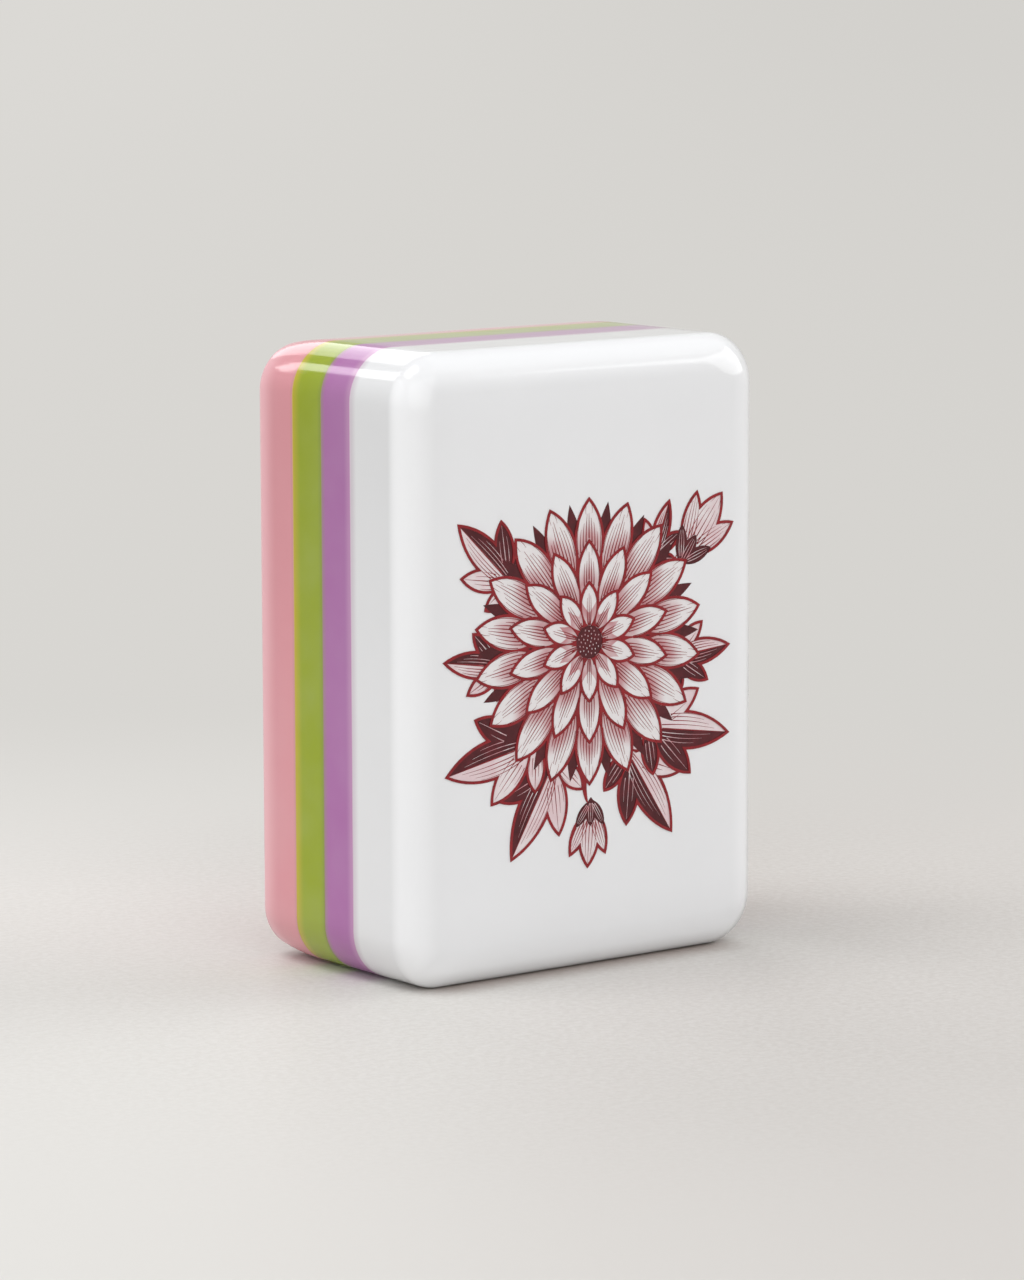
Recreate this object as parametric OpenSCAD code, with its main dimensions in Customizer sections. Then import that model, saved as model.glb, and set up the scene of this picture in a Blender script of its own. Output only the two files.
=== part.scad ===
// Mahjong tile: four coloured slabs bonded into a rounded block, with a face
// that is engraved with a chrysanthemum and filled flush with paint.
// Millimetres. The tile stands on its bottom edge with its face towards -Y,
// and the origin is at the middle of the footprint.

/* [Tile] */
// Width across the face
tile_w = 21.5; // [20:0.5:30]
// Height of the tile as it stands
tile_h = 30; // [27:0.5:42]

/* [Layers] */
// Thickness of the white face slab
face_t = 4.35; // [3.5:0.05:8]
// Thickness of the lilac slab
lilac_t = 2.2; // [1.5:0.05:4]
// Thickness of the green slab
green_t = 2.2; // [1.5:0.05:4]
// Thickness of the pink back slab
pink_t = 3.75; // [2.5:0.05:8]
// Thickness of each bond film between two slabs
bond_t = 0.1; // [0.05:0.01:0.2]

/* [Edges] */
// Radius of the outline's four corners, seen from the front
corner_r = 2.5; // [2.3:0.1:4]
// Radius that rounds the side into the face
edge_r = 1.4; // [0.8:0.1:1.6]
// Radius of the softer curve between that round and the flat face
dome_r = 3; // [1.8:0.1:3.2]
// Slope in degrees where the two curves meet
dome_slope = 20; // [10:1:20]

/* [Artwork] */
// Depth of the engraving, filled flush with paint
paint_t = 0.25; // [0.1:0.05:0.4]
// Width of the engraved outlines
line_w = 0.14; // [0.1:0.01:0.18]
// Bare rim of flat face left at each side of the artwork
art_rim = 0.15; // [0.1:0.05:1]
// How far the artwork's middle lies below the tile's middle
art_drop = 1; // [0:0.1:2]
// Petals in the blossom's outer ring
outer_petals = 18; // [12:1:24]
// Petals in the blossom's middle ring
middle_petals = 14; // [9:1:18]
// Petals in the blossom's inner ring
inner_petals = 10; // [6:1:13]

/* [Hidden] */
$fn = 96;

tile_t = face_t + lilac_t + green_t + pink_t + 3 * bond_t;
face_z = tile_t / 2;
front_bond_z = face_z - face_t;
lilac_z = front_bond_z - bond_t;
middle_bond_z = lilac_z - lilac_t;
green_z = middle_bond_z - bond_t;
back_bond_z = green_z - green_t;
pink_z = back_bond_z - bond_t;

// The two curves that round an edge meet dome_slope degrees off the face.
round_w = edge_r * (1 - sin(dome_slope));
edge_inset = round_w + dome_r * sin(dome_slope);
edge_depth = edge_r * cos(dome_slope) + dome_r * (1 - cos(dome_slope));

art_w = tile_w - 2 * (edge_inset + art_rim);

// The blossom: its place on the artwork, and where each ring's petals begin
// and end, measured from its heart.
blossom_rise_share = 0.105;
outer_shares = [0.16, 0.4];
under_shares = [0.13, 0.388];
middle_shares = [0.08, 0.285];
inner_shares = [0.03, 0.17];
heart_share = 0.046;
backing_share = 0.27;
// How far neighbouring petals lap, against the width of their outlines, and
// the width of the slim dark petals between them against their room.
lap_share = 0.8;
under_width_share = 0.62;

// A leaf is a fan of lobes: the turn of each from the midrib in degrees, then
// the place of its root along the midrib, its length and its width as shares
// of the leaf's length.
lobe_shares = [[0, 0, 1, 0.34], [36, 0.11, 0.62, 0.25], [-38, 0.15, 0.6, 0.25], [76, 0.06, 0.42, 0.2],
    [-73, 0.09, 0.42, 0.2]];
// Leaves: root across and up as shares of the artwork's width from the
// artwork's middle, turn in degrees to the left of upright, length share.
leaf_place_shares = [[-0.165, -0.15, 102, 0.34], [0.175, -0.15, -98, 0.33], [-0.11, -0.19, 150, 0.33],
    [0.12, -0.19, -147, 0.32], [-0.25, 0.27, 46, 0.28], [-0.27, 0.06, 82, 0.235], [0.27, 0.03, -84, 0.235],
    [0.22, 0.3, -20, 0.19]];

// A bud is three petals held in a calyx, described like the leaf's lobes.
bud_petal_shares = [[0, 0, 1, 0.42], [24, 0.05, 0.82, 0.3], [-26, 0.08, 0.82, 0.3]];
calyx_shares = [[35, -0.04, 0.48, 0.18], [2, -0.07, 0.44, 0.2], [-33, -0.02, 0.48, 0.18]];
bud_place_shares = [[0.33, 0.3, -38, 0.235], [0.005, -0.34, 176, 0.185]];

// Stems: start across and up, turn, chord, bow and thickness as shares of
// the artwork's width.
stem_shares = [[0.2, 0.25, -57, 0.13, 0.028, 0.014], [0.004, -0.21, 177, 0.14, 0.026, 0.015]];

// A block lying on its back is stood up with its face towards -Y.
module stand() {
    translate([0, 0, tile_h / 2]) rotate([90, 0, 0]) children();
}

// The tile's outline: a rectangle with four round corners.
module outline() {
    square([tile_w - 2 * corner_r, tile_h], center = true);
    square([tile_w, tile_h - 2 * corner_r], center = true);
    for (x = [-1, 1], y = [-1, 1]) {
        translate([x * (tile_w / 2 - corner_r), y * (tile_h / 2 - corner_r)]) circle(corner_r);
    }
}

// Section of a rounded edge, from the corner's axis at x = 0 out to the side,
// and from the edge's foot at y = 0 up to the face.
module edge_section() {
    square([corner_r - edge_inset, edge_depth]);
    intersection() {
        translate([corner_r - edge_inset, 0]) square([edge_inset - round_w, edge_depth]);
        translate([corner_r - edge_inset, edge_depth - dome_r]) circle(dome_r);
    }
    intersection() {
        translate([corner_r - round_w, 0]) square([round_w, edge_depth]);
        translate([corner_r - edge_r, 0]) circle(edge_r);
    }
}

// A straight run of the rounded edge along Y, its foot at z = 0.
module edge_run(length) {
    translate([0, length / 2, 0]) rotate([90, 0, 0]) linear_extrude(length) edge_section();
}

// A quarter turn of the rounded edge about a corner's axis.
module edge_corner() {
    rotate_extrude(angle = 90) edge_section();
}

// The rounded rim of a slab's outer face, as high as the edge's depth.
module rounded_rim() {
    core_w = tile_w - 2 * corner_r;
    core_h = tile_h - 2 * corner_r;
    translate([-core_w / 2, -core_h / 2, 0]) cube([core_w, core_h, edge_depth]);
    for (side = [0, 180]) {
        rotate(side) translate([core_w / 2, 0, 0]) edge_run(core_h);
        rotate(side + 90) translate([core_h / 2, 0, 0]) edge_run(core_w);
        rotate(side) translate([core_w / 2, core_h / 2, 0]) edge_corner();
        rotate(side) translate([-core_w / 2, core_h / 2, 0]) rotate(90) edge_corner();
    }
}

// An outer slab with its rounded face up and its joint at z = 0.
module outer_slab(thickness) {
    linear_extrude(thickness - edge_depth) outline();
    translate([0, 0, thickness - edge_depth]) rounded_rim();
}

// An inner slab or film whose top is at the height top.
module inner_slab(top, thickness) {
    translate([0, 0, top - thickness]) linear_extrude(thickness) outline();
}

// A pointed petal along +Y between two arcs, drawn in by the amount inset.
module petal(length, width, inset = 0) {
    arc_r = (length * length + width * width) / (4 * width);
    arc_x = arc_r - width / 2;
    translate([0, length / 2]) intersection() {
        translate([arc_x, 0]) circle(arc_r - inset);
        translate([-arc_x, 0]) circle(arc_r - inset);
    }
}

// Room for one petal half way along it, in a ring of count petals.
function petal_room(count, radius_shares) = PI * (radius_shares[0] + radius_shares[1]) * art_w / count;

// A ring of petals round the blossom's heart, from a root to a tip radius
// given as shares.
module petal_ring(count, radius_shares, width, inset = 0) {
    root = radius_shares[0] * art_w;
    tip = radius_shares[1] * art_w;
    for (i = [0:count - 1]) {
        rotate(i * 360 / count) translate([0, root]) petal(tip - root, width, inset);
    }
}

// A ring whose neighbouring petals lap, so that one line parts them.
module lapped_ring(count, radius_shares, inset) {
    petal_ring(count, radius_shares, petal_room(count, radius_shares) + lap_share * line_w, inset);
}

module outer_ring(inset = 0) {
    lapped_ring(outer_petals, outer_shares, inset);
}

module middle_ring(inset = 0) {
    lapped_ring(middle_petals, middle_shares, inset);
}

module inner_ring(inset = 0) {
    lapped_ring(inner_petals, inner_shares, inset);
}

// Dark petals that show in the gaps between the outer petals' tips.
module under_ring() {
    rotate(180 / outer_petals)
        petal_ring(outer_petals, under_shares, under_width_share * petal_room(outer_petals, under_shares));
}

module heart() {
    circle(heart_share * art_w);
}

module at_blossom() {
    translate([0, blossom_rise_share * art_w]) children();
}

// The whole ground of the blossom, which covers what grows behind it.
module blossom_ground() {
    at_blossom() {
        circle(backing_share * art_w);
        outer_ring();
        under_ring();
    }
}

// A fan of pointed lobes from one root, for leaves, buds and calyxes.
module fan(lobes, length, inset = 0) {
    for (lobe = lobes) {
        translate([0, lobe[1] * length]) rotate(lobe[0])
            petal(lobe[2] * length, lobe[3] * length, inset);
    }
}

// One leaf of the table, from its outline drawn in by the amount inset.
module leaf(place, inset = 0) {
    translate([place[0] * art_w, place[1] * art_w]) rotate(place[2])
        fan(lobe_shares, place[3] * art_w, inset);
}

// The side of a leaf's midrib that lies in shade, to the right of it.
module shade_side(place) {
    length = place[3] * art_w;
    translate([place[0] * art_w, place[1] * art_w]) rotate(place[2])
        translate([0, -length]) square([length, 3 * length]);
}

module buds(lobes, inset = 0) {
    for (place = bud_place_shares) {
        translate([place[0] * art_w, place[1] * art_w]) rotate(place[2])
            fan(lobes, place[3] * art_w, inset);
    }
}

// What lies over a leaf: the blossom, the buds and the leaves before it in
// the table.
module over_leaf(i) {
    blossom_ground();
    buds(bud_petal_shares);
    buds(calyx_shares);
    for (j = [0:1:i - 1]) {
        leaf(leaf_place_shares[j]);
    }
}

// A curved stroke that tapers at both ends, along +Y and bowed towards +X.
module stroke(chord, bow, thickness) {
    outer_r = (chord * chord / 4 + bow * bow) / (2 * bow);
    inner_bow = bow - thickness;
    inner_r = (chord * chord / 4 + inner_bow * inner_bow) / (2 * inner_bow);
    translate([0, chord / 2]) difference() {
        translate([bow - outer_r, 0]) circle(outer_r);
        translate([inner_bow - inner_r, 0]) circle(inner_r);
    }
}

module stems() {
    for (stem = stem_shares) {
        translate([stem[0] * art_w, stem[1] * art_w]) rotate(stem[2])
            stroke(stem[3] * art_w, stem[4] * art_w, stem[5] * art_w);
    }
}

// Everything that is engraved, as one flat pocket.
module engraving() {
    blossom_ground();
    for (place = leaf_place_shares) {
        leaf(place);
    }
    buds(bud_petal_shares);
    buds(calyx_shares);
    stems();
}

// A paint filling: a flat shape as deep as the engraving, flush with the face.
module filling() {
    stand() translate([0, -art_drop, face_z - paint_t]) linear_extrude(paint_t) children();
}

module white_face() {
    color("white") stand() difference() {
        translate([0, 0, front_bond_z]) outer_slab(face_t);
        translate([0, -art_drop, face_z - paint_t]) linear_extrude(2 * paint_t) engraving();
    }
}

module front_bond() {
    color([0.86, 0.76, 0.84]) stand() inner_slab(front_bond_z, bond_t);
}

module lilac_layer() {
    color([0.72, 0.5, 0.74]) stand() inner_slab(lilac_z, lilac_t);
}

module middle_bond() {
    color([0.62, 0.58, 0.45]) stand() inner_slab(middle_bond_z, bond_t);
}

module green_layer() {
    color([0.6, 0.66, 0.22]) stand() inner_slab(green_z, green_t);
}

module back_bond() {
    color([0.83, 0.68, 0.45]) stand() inner_slab(back_bond_z, bond_t);
}

module pink_back() {
    color([0.88, 0.6, 0.65]) stand() translate([0, 0, pink_z]) mirror([0, 0, 1]) outer_slab(pink_t);
}

module petal_wash_paint() {
    color([0.94, 0.84, 0.86]) filling() at_blossom() {
        difference() {
            outer_ring(line_w);
            middle_ring();
            inner_ring();
        }
        difference() {
            middle_ring(line_w);
            inner_ring();
            heart();
        }
        difference() {
            inner_ring(line_w);
            heart();
        }
    }
}

module petal_line_paint() {
    color([0.55, 0.17, 0.2]) filling() at_blossom() {
        difference() {
            outer_ring();
            outer_ring(line_w);
            middle_ring();
            inner_ring();
        }
        difference() {
            middle_ring();
            middle_ring(line_w);
            inner_ring();
            heart();
        }
        difference() {
            inner_ring();
            inner_ring(line_w);
            heart();
        }
    }
}

module blossom_shadow_paint() {
    color([0.3, 0.08, 0.12]) filling() {
        difference() {
            blossom_ground();
            at_blossom() {
                outer_ring();
                middle_ring();
                inner_ring();
            }
        }
        at_blossom() heart();
    }
}

module leaf_wash_paint() {
    color([0.94, 0.84, 0.86]) filling() for (i = [0:len(leaf_place_shares) - 1]) {
        difference() {
            leaf(leaf_place_shares[i], line_w);
            shade_side(leaf_place_shares[i]);
            over_leaf(i);
        }
    }
}

module leaf_line_paint() {
    color([0.55, 0.17, 0.2]) filling() for (i = [0:len(leaf_place_shares) - 1]) {
        difference() {
            leaf(leaf_place_shares[i]);
            leaf(leaf_place_shares[i], line_w);
            over_leaf(i);
        }
    }
}

module leaf_shadow_paint() {
    color([0.3, 0.08, 0.12]) filling() for (i = [0:len(leaf_place_shares) - 1]) {
        difference() {
            intersection() {
                leaf(leaf_place_shares[i], line_w);
                shade_side(leaf_place_shares[i]);
            }
            over_leaf(i);
        }
    }
}

module bud_wash_paint() {
    color([0.94, 0.84, 0.86]) filling() difference() {
        buds(bud_petal_shares, line_w);
        buds(calyx_shares);
        blossom_ground();
    }
}

module bud_line_paint() {
    color([0.55, 0.17, 0.2]) filling() difference() {
        buds(bud_petal_shares);
        buds(bud_petal_shares, line_w);
        buds(calyx_shares);
        blossom_ground();
    }
}

module bud_shadow_paint() {
    color([0.3, 0.08, 0.12]) filling() difference() {
        buds(calyx_shares);
        blossom_ground();
    }
}

module stem_paint() {
    color([0.55, 0.17, 0.2]) filling() difference() {
        stems();
        over_leaf(len(leaf_place_shares));
    }
}

white_face();
front_bond();
lilac_layer();
middle_bond();
green_layer();
back_bond();
pink_back();
petal_wash_paint();
petal_line_paint();
blossom_shadow_paint();
leaf_wash_paint();
leaf_line_paint();
leaf_shadow_paint();
bud_wash_paint();
bud_line_paint();
bud_shadow_paint();
stem_paint();
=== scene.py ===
"""A laminated mahjong tile on a pale sweep: polished plastic slabs and a painted engraving."""
import math
import random
from collections import namedtuple

import bpy
from mathutils import Matrix, Vector


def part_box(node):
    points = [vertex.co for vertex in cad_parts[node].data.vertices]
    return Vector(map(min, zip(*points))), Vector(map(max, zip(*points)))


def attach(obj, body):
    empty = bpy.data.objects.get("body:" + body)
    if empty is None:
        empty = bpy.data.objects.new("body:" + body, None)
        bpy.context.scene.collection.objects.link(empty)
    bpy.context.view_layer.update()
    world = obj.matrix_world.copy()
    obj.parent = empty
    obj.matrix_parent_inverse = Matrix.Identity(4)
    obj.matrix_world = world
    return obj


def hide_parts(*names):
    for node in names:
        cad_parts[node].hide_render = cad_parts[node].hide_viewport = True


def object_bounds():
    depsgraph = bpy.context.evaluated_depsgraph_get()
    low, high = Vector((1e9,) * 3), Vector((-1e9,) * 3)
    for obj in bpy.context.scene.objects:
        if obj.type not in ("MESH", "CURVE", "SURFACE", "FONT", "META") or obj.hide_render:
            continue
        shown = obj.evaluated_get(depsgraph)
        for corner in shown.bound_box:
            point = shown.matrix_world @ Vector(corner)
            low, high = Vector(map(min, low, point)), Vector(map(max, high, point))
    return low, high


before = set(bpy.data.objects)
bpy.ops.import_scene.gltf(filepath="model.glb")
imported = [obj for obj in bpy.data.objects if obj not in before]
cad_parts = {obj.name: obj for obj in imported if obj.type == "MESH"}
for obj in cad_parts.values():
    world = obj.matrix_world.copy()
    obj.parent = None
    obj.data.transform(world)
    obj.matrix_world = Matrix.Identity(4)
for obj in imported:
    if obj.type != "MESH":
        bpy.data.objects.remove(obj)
cad_low, cad_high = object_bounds()

MM = 0.001
TILE_W = cad_high.x - cad_low.x
TILE_H = cad_high.z - cad_low.z
FRONT = -cad_low.y

# Camera, fitted to the tile's outline in the photograph. The sensor's width is
# in millimetres, and the clipping distances are in metres.
PHOTO_H = 1280
FOCAL_PX = 5146
TURN = math.radians(37.71)
PITCH = math.radians(8.29)
ROLL = math.radians(-0.18)
CAMERA_DISTANCE = 249 * MM
OFF_RIGHT = -0.238 * MM
OFF_UP = -0.186 * MM
SENSOR = 36
CLIP_NEAR = 0.01
CLIP_FAR = 20

# Edges of the outer slabs, as on the solids.
CORNER_R = 2.5 * MM
CORNER_STEPS = 20
EDGE_R = 1.4 * MM
DOME_R = 3 * MM
DOME_SLOPE = math.radians(20)
EDGE_INSET = EDGE_R * (1 - math.sin(DOME_SLOPE)) + DOME_R * math.sin(DOME_SLOPE)
SHARP_ABOVE = math.radians(30)

# Curves that carry each outer slab's side over to its face: the radius, the
# tilts in degrees off the face between which it runs, and its steps. The white
# edge is a little tighter at the side than the solid's, with the same inset,
# and the pink slab falls away from its joint on a wide curve first.
WHITE_EDGE = ((1 * MM, 90, 60, 6), (1.5 * MM, 60, 20, 8), (3 * MM, 20, 0, 5))
PINK_EDGE = ((16 * MM, 90, 80, 5), (1 * MM, 80, 20, 8), (3 * MM, 20, 0, 5))

# How far each lies behind the solids' front, so that the paint stands a hair
# proud of the polished face and the pen lines stand above the washes.
FACE_SINK = 0.04 * MM
WASH_SINK = 0.03 * MM
LINE_SINK = 0.028 * MM

# Doubled points nearer than this are merged, in fillings and in pen lines.
FILLING_MERGE = 1e-7
PEN_MERGE = 1e-8

# Beyond this half width and half height the face falls away on a wide curve,
# as bump, and a faint ripple lies over it.
PILLOW_HALF_W = 7.3 * MM
PILLOW_HALF_H = 11.5 * MM
PILLOW_R = 14 * MM
RIPPLE = 0.0006 * MM
RIPPLE_SCALE = 320

# The artwork, laid out as on the solids. Its own measures come first. Lengths in
# the tables below are shares of its width, or for lobes of the length of their
# leaf or bud, and turns are in degrees.
ART_RIM = 0.15 * MM
ART_DROP = 1 * MM
ART_W = TILE_W - 2 * (EDGE_INSET + ART_RIM)
ART_Z = TILE_H / 2 - ART_DROP
BLOSSOM_Z = ART_Z + 0.105 * ART_W
LINE_W = 0.14 * MM
LAP = 0.8 * LINE_W
HEART_R = 0.046 * ART_W
BACKING_R = 0.27 * ART_W

# Rings of petals: how many, where they start and where they end.
OUTER_RING = (18, 0.16, 0.4)
MIDDLE_RING = (14, 0.08, 0.285)
INNER_RING = (10, 0.03, 0.17)
UNDER_RING = (18, 0.13, 0.388)
UNDER_WIDTH = 0.62

# Lobes of a leaf or bud: turn, root, length and width.
LOBES = [(0, 0, 1, 0.34), (36, 0.11, 0.62, 0.25), (-38, 0.15, 0.6, 0.25), (76, 0.06, 0.42, 0.2),
         (-73, 0.09, 0.42, 0.2)]
BUD_PETALS = [(0, 0, 1, 0.42), (24, 0.05, 0.82, 0.3), (-26, 0.08, 0.82, 0.3)]
CALYX = [(35, -0.04, 0.48, 0.18), (2, -0.07, 0.44, 0.2), (-33, -0.02, 0.48, 0.18)]

# Leaves and buds: place across and up, turn and length.
LEAVES = [(-0.165, -0.15, 102, 0.34), (0.175, -0.15, -98, 0.33), (-0.11, -0.19, 150, 0.33),
          (0.12, -0.19, -147, 0.32), (-0.25, 0.27, 46, 0.28), (-0.27, 0.06, 82, 0.235),
          (0.27, 0.03, -84, 0.235), (0.22, 0.3, -20, 0.19)]
BUDS = [(0.33, 0.3, -38, 0.235), (0.005, -0.34, 176, 0.185)]

# Pen lines: half the width and half the height of a full line, the points kept
# of a line, the steps at which its cover is tested, and the shortest run kept.
PEN_HALF_W = 0.036 * MM
PEN_HALF_H = 0.022 * MM
NIB_SHOULDER = 0.6
PEN_POINTS = 8
FINE_STEPS = 60
SHORTEST_RUN = FINE_STEPS / 4
PEN_TAPER = 0.75
STROKE_END = 0.35
DOT_REACH = 0.4

# Hatching on a blade: the sides it starts from, as shares of the half width,
# its start and end along the blade, the slant and waver of its end, its weight,
# the weight lost towards the edge, and the share of its side that it ends at.
Hatch = namedtuple("Hatch", "sides start end slant waver weight fade lean", defaults=(0.0, 1.0))
PETAL_SIDES = (-0.62, -0.42, -0.21, 0.0, 0.21, 0.42, 0.62)
OUTER_STRIPES = Hatch(PETAL_SIDES, 0.2, 0.82, 0.3, 0.06, 0.95, 0.25, 0.9)
MIDDLE_STRIPES = OUTER_STRIPES._replace(sides=PETAL_SIDES[1:-1], start=0.1, end=0.8)
INNER_STRIPES = OUTER_STRIPES._replace(sides=PETAL_SIDES[2:-2], start=0.1, end=0.72)
PETAL_TIP = Hatch((-0.62, 0.62), 0.97, 0.8, 0.0, 0.04, 0.6, 0.0, 0.5)
PETAL_EDGE = Hatch((-0.78, 0.78), 0.35, 0.86, 0.0, 0.05, 0.55)
LEAF_RIB = Hatch((0.0,), 0.02, 0.97, 0.0, 0.0, 1.2)
LEAF_LIT_HALF = Hatch((-0.25, -0.45, -0.65, -0.82), 0.12, 0.9, 0.3, 0.0, 0.7)
LEAF_DARK_HALF = Hatch((0.22, 0.44, 0.66), 0.2, 0.88, 0.4, 0.0, 0.6)
LOBE_RIB = Hatch((0.0,), 0.06, 0.9, 0.0, 0.0, 0.8)
LIT_LOBE = Hatch((-0.66, -0.33, 0.33, 0.66), 0.3, 0.82, 0.35, 0.05, 0.6)
DARK_LOBE = LIT_LOBE._replace(sides=(-0.4, 0.4))
BUD_STRIPES = Hatch((-0.6, -0.3, 0.0, 0.3, 0.6), 0.25, 0.88, 0.3, 0.05, 0.75)
BUD_TIP = Hatch((-0.5, 0.5), 0.96, 0.8, 0.0, 0.0, 0.55)
SEPAL_STRIPES = Hatch((-0.4, 0.0, 0.4), 0.2, 0.85, 0.0, 0.0, 0.7)

# Filaments round the heart and seeds in it, in shares of the heart's radius.
FILAMENTS = 26
FILAMENT_ROOT = 0.98
FILAMENT_TIP = 1.3
FILAMENT_WAVER = 0.14
FILAMENT_WEIGHT = 0.8
ANTHER_WEIGHT = 0.9
SEEDS = 34
SEED_REACH = 0.86
SEED_WEIGHT = 1.15

# Noise patterns: scale, detail and roughness of the noise, then the values of
# it between which the pattern rises.
Pattern = namedtuple("Pattern", "scale detail roughness start end")
CLOUDS = Pattern(180, 3, 0.5, 0.3, 0.7)
SMEARS = Pattern(260, 4, 0.6, 0.42, 0.72)
PATCHES = Pattern(900, 3, 0.5, 0.3, 0.7)
FIBRES = Pattern(2600, 4, 0.75, 0.25, 0.75)
THIN_PAINT = Pattern(1500, 4, 0.65, 0.35, 0.75)

# Plastic: its shine, how strongly clouds whiten it, and how strongly painted shade
# darkens its sides towards the top, fading out again just below the top face.
PLASTIC_IOR = 1.5
SHINE = 0.4
CLOUD = 0.05
HEAD_SHADE = 0.12
UNSHADED_TOP = 0.8 * MM

# How far each slab takes on the tint of the bond in front of it or behind it.
WHITE_BACK_REACH = 0.5 * MM
LILAC_FRONT_REACH = 0.5 * MM
LILAC_BACK_REACH = 0.3 * MM
GREEN_FRONT_REACH = 0.3 * MM
GREEN_BACK_REACH = 0.6 * MM
PINK_FRONT_REACH = 0.2 * MM

# Where a slab has no bond, its seam lies this far away.
NO_SEAM = 1.0
NO_SEAM_REACH = 0.4 * MM

# The painted highlight on the outer slabs' rims, a paler colour for the light on their
# rounded edges: where it begins in from the outline and over what width it comes in,
# then the depths from the face where it starts and is full.
RIM_REACH = 1.95 * MM
RIM_FADE = 1.2 * MM
WHITE_RIM_START = 1.5 * MM
WHITE_RIM_FULL = 0.8 * MM
PINK_RIM_START = 2.3 * MM
PINK_RIM_FULL = 0.4 * MM

# The petals' wash: how strongly it deepens, how far from the petal above, and
# the least share of that in its thin patches.
WASH_DEPTH = 0.8
WASH_REACH = 0.9 * MM
WASH_LEAST = 0.6

# Paper near the tile: its grain, which fades with distance, and its tooth.
PAPER_GRAIN = 0.12
PAPER_LIFT = 0.085
CRISP_PAPER = 18 * MM
SMOOTH_PAPER = 55 * MM
FAR_GRAIN = 0.05
PAPER_TOOTH = 0.03 * MM
TOOTH_SCALE = 1800
PAPER_ROUGHNESS = 0.55
PAPER_SHINE = 0.25
# Half the width over which the paper's painted falloff of light runs from its lighter left tone to its
# darker right one.
NEAR_FADE = 24 * MM

# Painted shade that the camera sees on the paper under the front edge: where the foot lies,
# how far and how deep the shade goes, and where it ends at the tile's corners.
FOOT_INSET = 1.4 * MM
NOOK_REACH = 3 * MM
NOOK_SHADE = 0.6
NOOK_FULL = 7.5 * MM
NOOK_GONE = 10.5 * MM

# The paper turns into the plain backdrop between the first two distances behind
# the tile as the camera stands, and between the next two all round.
NEAR_PAPER = 12 * MM
FAR_PAPER = 80 * MM
NEAR_ROUND = 150 * MM
FAR_ROUND = 450 * MM
# Half the width of the same painted falloff of light on the plain backdrop.
FAR_FADE = 160 * MM

# The sweep, in metres.
SWEEP_SIZE = 6.0
SWEEP_BACK = 2.2
SWEEP_HEIGHT = 2.5
SWEEP_BEND = 1.2
SWEEP_STEPS = 24

# Lamp panels: turn, rise and distance, then width and height, then radiance.
LAMPS = {
    "key": ((30, 30, 1.0), (1.2, 0.9), 1.6),
    "right": ((-80, 58, 1.0), (0.9, 0.9), 0.42),
    "right front": ((-70, 22, 1.0), (0.8, 0.5), 2.8),
    "back": ((198, 35, 0.9), (0.45, 0.36), 2.2),
    "rim": ((161.2, 33, 0.9), (0.134, 0.28), 4.5),
    "left": ((118, 30, 1.0), (0.9, 0.6), 1.05),
    "left high": ((112, 68, 1.0), (0.4, 0.4), 5.2),
}
AIR = 0.3


def srgb(red, green, blue):
    """A colour given as 0 to 255 display values, made linear."""
    def linear(value):
        share = value / 255
        return share / 12.92 if share <= 0.04045 else ((share + 0.055) / 1.055) ** 2.4
    return linear(red), linear(green), linear(blue), 1


PURE_WHITE = (1, 1, 1, 1)
BLACK = (0, 0, 0, 1)
WHITE = srgb(231, 232, 234)
# Painted highlight colour for the white slab's rim.
WHITE_RIM_HIGHLIGHT = srgb(241, 242, 244)
WHITE_BY_LILAC = srgb(213, 205, 213)
WHITE_TO_LILAC = srgb(205, 177, 199)
LILAC_BY_WHITE = srgb(188, 134, 181)
LILAC = srgb(172, 105, 168)
LILAC_BY_GREEN = srgb(161, 123, 143)
LILAC_TO_GREEN = srgb(150, 138, 100)
GREEN_BY_LILAC = srgb(139, 156, 41)
GREEN = srgb(150, 167, 10)
GREEN_BY_PINK = srgb(186, 174, 36)
GREEN_TO_PINK = srgb(198, 165, 96)
PINK_BY_GREEN = srgb(214, 149, 152)
PINK = srgb(224, 152, 161)
# Painted highlight colour for the pink slab's rim.
PINK_RIM_HIGHLIGHT = srgb(243, 189, 197)
OXBLOOD = srgb(142, 26, 34)
OXBLOOD_DARK = srgb(118, 16, 25)
MAROON = srgb(70, 10, 19)
MAROON_LIGHT = srgb(92, 22, 31)
WASH = srgb(229, 225, 226)
WASH_ROSE = srgb(176, 84, 94)
LEAF_WASH = srgb(229, 224, 225)
LEAF_ROSE = srgb(221, 196, 200)
PALE_LINE = srgb(196, 132, 138)
# Paper and backdrop tones, painted lighter to the left and darker to the right as falloff of light.
PAPER_LIT_LEFT = srgb(214, 212, 208)
PAPER_SHADED_RIGHT = srgb(202, 198, 194)
# Colour of the painted shade under the tile's front edge.
PAINTED_FOOT_SHADE = srgb(96, 48, 12)
BACKDROP_LIT_LEFT = srgb(219, 217, 213)
BACKDROP_SHADED_RIGHT = srgb(211, 209, 205)
BACKDROP = srgb(215, 213, 209)


def petal_room(ring):
    """Room for one petal half way along it."""
    count, root, tip = ring
    return math.pi * (root + tip) * ART_W / count


def petal_width(ring):
    return petal_room(ring) + LAP


# Camera

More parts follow.
